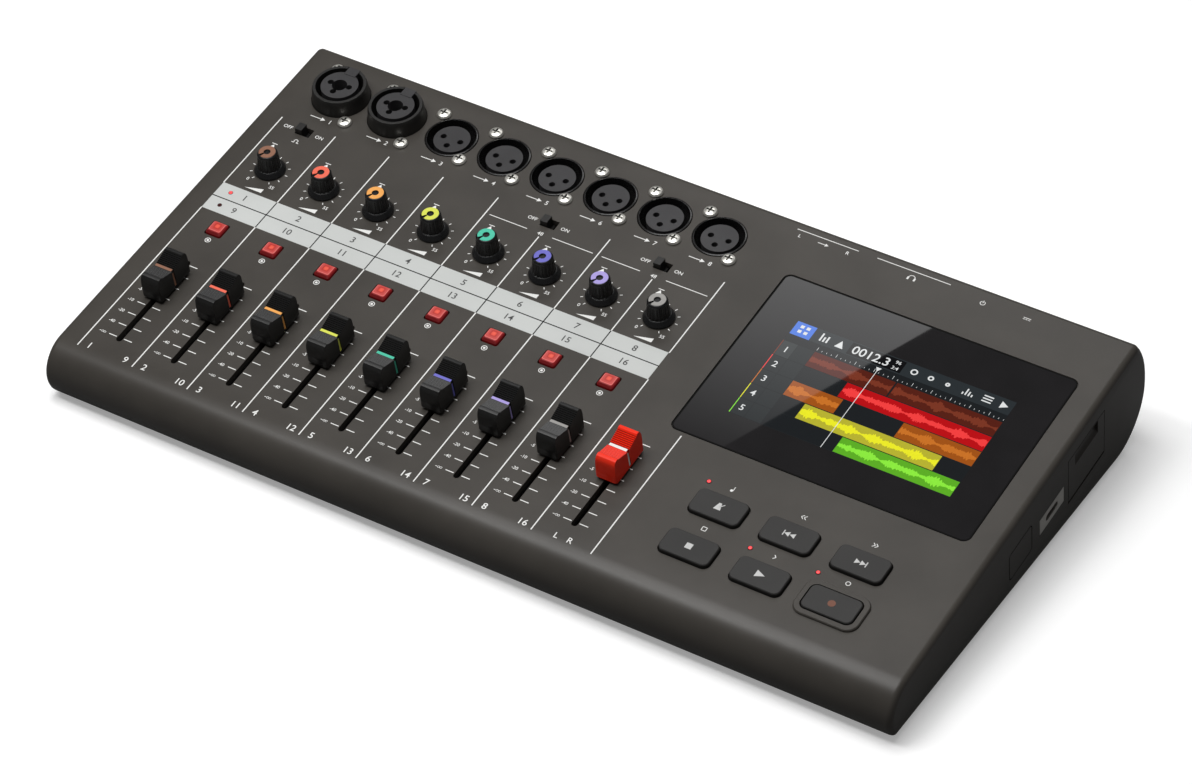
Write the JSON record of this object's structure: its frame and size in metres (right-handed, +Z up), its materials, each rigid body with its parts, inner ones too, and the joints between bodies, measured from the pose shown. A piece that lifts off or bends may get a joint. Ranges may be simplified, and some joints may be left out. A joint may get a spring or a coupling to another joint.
{
  "type": "digital multitrack recorder",
  "caption": "Wedge-shaped desktop audio recorder with sliding faders, gain knobs, transport keys, a flush touch screen, microphone sockets and a hinged card door.",
  "frame": {"origin": "on the table under the middle of the case", "axes": "+X to the player's right along the width, +Y from the rolled front to the curved rear, +Z up"},
  "size_m": [0.378, 0.206, 0.0579],
  "materials": {
    "case_grey": "satin moulded grain",
    "cover_grey": "satin moulded grain",
    "rubber": "matt",
    "screw_steel": "zinc plated",
    "screen_glass": "gloss",
    "display": "gloss",
    "lens_red": "clear red",
    "socket_black": "satin",
    "contact_block": "satin",
    "plated_steel": "plated",
    "board_green": "solder mask",
    "switch_black": "satin",
    "fader_black": "satin",
    "fader_red": "satin",
    "knob_black": "satin",
    "key_red": "lit satin",
    "key_grey": "satin",
    "lever_black": "satin"
  },
  "bodies": {
    "case": {"upper_case": "case_grey", "lower_case": "cover_grey", "rubber_feet": "rubber", "pan_screws": "screw_steel", "screen_glass": "screen_glass", "lcd_module": "display", "indicator_lenses": "lens_red", "xlr_shells": "socket_black", "xlr_inserts": "contact_block", "combo_collars": "socket_black", "combo_inserts": "contact_block", "jack_sockets": "socket_black", "dc_socket": "socket_black", "usb_port": "plated_steel", "card_reader": "plated_steel", "accessory_cover": "cover_grey", "control_board": "board_green", "main_board": "board_green", "rear_board": "board_green", "fader_bodies": "plated_steel", "rotary_pots": "plated_steel", "switch_bodies": "switch_black", "key_switches": "switch_black"},
    "track_fader_1": {"track_fader_1": "fader_black"},
    "gain_knob_1": {"gain_knob_1": "knob_black"},
    "track_key_1": {"track_key_1": "key_red"},
    "stop_key": {"stop_key": "key_grey"},
    "hi_z_switch": {"hi_z_switch": "lever_black"},
    "power_switch": {"power_switch": "lever_black"},
    "phones_volume_knob": {"phones_volume_knob": "knob_black"},
    "card_door": {"card_door": "case_grey"},
    "master_fader": {"master_fader": "fader_red"},
    "record_key": {"record_key": "key_grey"},
    "play_key": {"play_key": "key_grey"},
    "click_key": {"click_key": "key_grey"},
    "rewind_key": {"rewind_key": "key_grey"},
    "forward_key": {"forward_key": "key_grey"},
    "phantom_switch_a": {"phantom_switch_a": "lever_black"},
    "phantom_switch_b": {"phantom_switch_b": "lever_black"},
    "track_fader_2": {"track_fader_2": "fader_black"},
    "track_fader_3": {"track_fader_3": "fader_black"},
    "track_fader_4": {"track_fader_4": "fader_black"},
    "track_fader_5": {"track_fader_5": "fader_black"},
    "track_fader_6": {"track_fader_6": "fader_black"},
    "track_fader_7": {"track_fader_7": "fader_black"},
    "track_fader_8": {"track_fader_8": "fader_black"},
    "gain_knob_2": {"gain_knob_2": "knob_black"},
    "gain_knob_3": {"gain_knob_3": "knob_black"},
    "gain_knob_4": {"gain_knob_4": "knob_black"},
    "gain_knob_5": {"gain_knob_5": "knob_black"},
    "gain_knob_6": {"gain_knob_6": "knob_black"},
    "gain_knob_7": {"gain_knob_7": "knob_black"},
    "gain_knob_8": {"gain_knob_8": "knob_black"},
    "track_key_2": {"track_key_2": "key_red"},
    "track_key_3": {"track_key_3": "key_red"},
    "track_key_4": {"track_key_4": "key_red"},
    "track_key_5": {"track_key_5": "key_red"},
    "track_key_6": {"track_key_6": "key_red"},
    "track_key_7": {"track_key_7": "key_red"},
    "track_key_8": {"track_key_8": "key_red"}
  },
  "joints": [
    {"name": "track_fader_1_slide", "type": "slide", "parent": "case", "child": "track_fader_1", "axis": [0, 0.9895, 0.1444], "range_m": [-0.0321, 0.0129]},
    {"name": "gain_knob_1_turn", "type": "hinge", "parent": "case", "child": "gain_knob_1", "pos_m": [-0.16553, 0.02168, 0.04227], "axis": [0, 0.1444, -0.9895], "range_deg": [0, 300]},
    {"name": "track_key_1_press", "type": "slide", "parent": "case", "child": "track_key_1", "axis": [0, 0.1444, -0.9895], "range_m": [0, 0.0005], "stiffness_N_per_m": 150},
    {"name": "stop_key_press", "type": "slide", "parent": "case", "child": "stop_key", "axis": [0, 0.1444, -0.9895], "range_m": [0, 0.0005], "stiffness_N_per_m": 400},
    {"name": "hi_z_switch_slide", "type": "slide", "parent": "case", "child": "hi_z_switch", "axis": [1, 0, 0], "range_m": [0, 0.003]},
    {"name": "power_switch_slide", "type": "slide", "parent": "case", "child": "power_switch", "axis": [1, 0, 0], "range_m": [0, 0.0034]},
    {"name": "phones_volume_knob_turn", "type": "hinge", "parent": "case", "child": "phones_volume_knob", "pos_m": [0.1045, 0.0945, 0.0245], "axis": [0, 1, 0], "range_deg": [-150, 150]},
    {"name": "card_door_hinge", "type": "hinge", "parent": "case", "child": "card_door", "pos_m": [0.1879, 0.0523, 0.01602], "axis": [0, 0.9895, 0.1444], "range_deg": [0, 90]},
    {"name": "master_fader_slide", "type": "slide", "parent": "case", "child": "master_fader", "axis": [0, 0.9895, 0.1444], "range_m": [-0.0321, 0.0129]},
    {"name": "record_key_press", "type": "slide", "parent": "case", "child": "record_key", "axis": [0, 0.1444, -0.9895], "range_m": [0, 0.0005], "stiffness_N_per_m": 400},
    {"name": "play_key_press", "type": "slide", "parent": "case", "child": "play_key", "axis": [0, 0.1444, -0.9895], "range_m": [0, 0.0005], "stiffness_N_per_m": 400},
    {"name": "click_key_press", "type": "slide", "parent": "case", "child": "click_key", "axis": [0, 0.1444, -0.9895], "range_m": [0, 0.0005], "stiffness_N_per_m": 400},
    {"name": "rewind_key_press", "type": "slide", "parent": "case", "child": "rewind_key", "axis": [0, 0.1444, -0.9895], "range_m": [0, 0.0005], "stiffness_N_per_m": 400},
    {"name": "forward_key_press", "type": "slide", "parent": "case", "child": "forward_key", "axis": [0, 0.1444, -0.9895], "range_m": [0, 0.0005], "stiffness_N_per_m": 400},
    {"name": "phantom_switch_a_slide", "type": "slide", "parent": "case", "child": "phantom_switch_a", "axis": [1, 0, 0], "range_m": [0, 0.003]},
    {"name": "phantom_switch_b_slide", "type": "slide", "parent": "case", "child": "phantom_switch_b", "axis": [1, 0, 0], "range_m": [0, 0.003]},
    {"name": "track_fader_2_slide", "type": "slide", "parent": "case", "child": "track_fader_2", "axis": [0, 0.9895, 0.1444], "range_m": [-0.0321, 0.0129]},
    {"name": "track_fader_3_slide", "type": "slide", "parent": "case", "child": "track_fader_3", "axis": [0, 0.9895, 0.1444], "range_m": [-0.0321, 0.0129]},
    {"name": "track_fader_4_slide", "type": "slide", "parent": "case", "child": "track_fader_4", "axis": [0, 0.9895, 0.1444], "range_m": [-0.0321, 0.0129]},
    {"name": "track_fader_5_slide", "type": "slide", "parent": "case", "child": "track_fader_5", "axis": [0, 0.9895, 0.1444], "range_m": [-0.0321, 0.0129]},
    {"name": "track_fader_6_slide", "type": "slide", "parent": "case", "child": "track_fader_6", "axis": [0, 0.9895, 0.1444], "range_m": [-0.0321, 0.0129]},
    {"name": "track_fader_7_slide", "type": "slide", "parent": "case", "child": "track_fader_7", "axis": [0, 0.9895, 0.1444], "range_m": [-0.0321, 0.0129]},
    {"name": "track_fader_8_slide", "type": "slide", "parent": "case", "child": "track_fader_8", "axis": [0, 0.9895, 0.1444], "range_m": [-0.0321, 0.0129]},
    {"name": "gain_knob_2_turn", "type": "hinge", "parent": "case", "child": "gain_knob_2", "pos_m": [-0.13937, 0.02168, 0.04227], "axis": [0, 0.1444, -0.9895], "range_deg": [0, 300]},
    {"name": "gain_knob_3_turn", "type": "hinge", "parent": "case", "child": "gain_knob_3", "pos_m": [-0.11323, 0.02168, 0.04227], "axis": [0, 0.1444, -0.9895], "range_deg": [0, 300]},
    {"name": "gain_knob_4_turn", "type": "hinge", "parent": "case", "child": "gain_knob_4", "pos_m": [-0.08707, 0.02168, 0.04227], "axis": [0, 0.1444, -0.9895], "range_deg": [0, 300]},
    {"name": "gain_knob_5_turn", "type": "hinge", "parent": "case", "child": "gain_knob_5", "pos_m": [-0.06092, 0.02168, 0.04227], "axis": [0, 0.1444, -0.9895], "range_deg": [0, 300]},
    {"name": "gain_knob_6_turn", "type": "hinge", "parent": "case", "child": "gain_knob_6", "pos_m": [-0.03478, 0.02168, 0.04227], "axis": [0, 0.1444, -0.9895], "range_deg": [0, 300]},
    {"name": "gain_knob_7_turn", "type": "hinge", "parent": "case", "child": "gain_knob_7", "pos_m": [-0.00863, 0.02168, 0.04227], "axis": [0, 0.1444, -0.9895], "range_deg": [0, 300]},
    {"name": "gain_knob_8_turn", "type": "hinge", "parent": "case", "child": "gain_knob_8", "pos_m": [0.01752, 0.02168, 0.04227], "axis": [0, 0.1444, -0.9895], "range_deg": [0, 300]},
    {"name": "track_key_2_press", "type": "slide", "parent": "case", "child": "track_key_2", "axis": [0, 0.1444, -0.9895], "range_m": [0, 0.0005], "stiffness_N_per_m": 150},
    {"name": "track_key_3_press", "type": "slide", "parent": "case", "child": "track_key_3", "axis": [0, 0.1444, -0.9895], "range_m": [0, 0.0005], "stiffness_N_per_m": 150},
    {"name": "track_key_4_press", "type": "slide", "parent": "case", "child": "track_key_4", "axis": [0, 0.1444, -0.9895], "range_m": [0, 0.0005], "stiffness_N_per_m": 150},
    {"name": "track_key_5_press", "type": "slide", "parent": "case", "child": "track_key_5", "axis": [0, 0.1444, -0.9895], "range_m": [0, 0.0005], "stiffness_N_per_m": 150},
    {"name": "track_key_6_press", "type": "slide", "parent": "case", "child": "track_key_6", "axis": [0, 0.1444, -0.9895], "range_m": [0, 0.0005], "stiffness_N_per_m": 150},
    {"name": "track_key_7_press", "type": "slide", "parent": "case", "child": "track_key_7", "axis": [0, 0.1444, -0.9895], "range_m": [0, 0.0005], "stiffness_N_per_m": 150},
    {"name": "track_key_8_press", "type": "slide", "parent": "case", "child": "track_key_8", "axis": [0, 0.1444, -0.9895], "range_m": [0, 0.0005], "stiffness_N_per_m": 150}
  ]
}
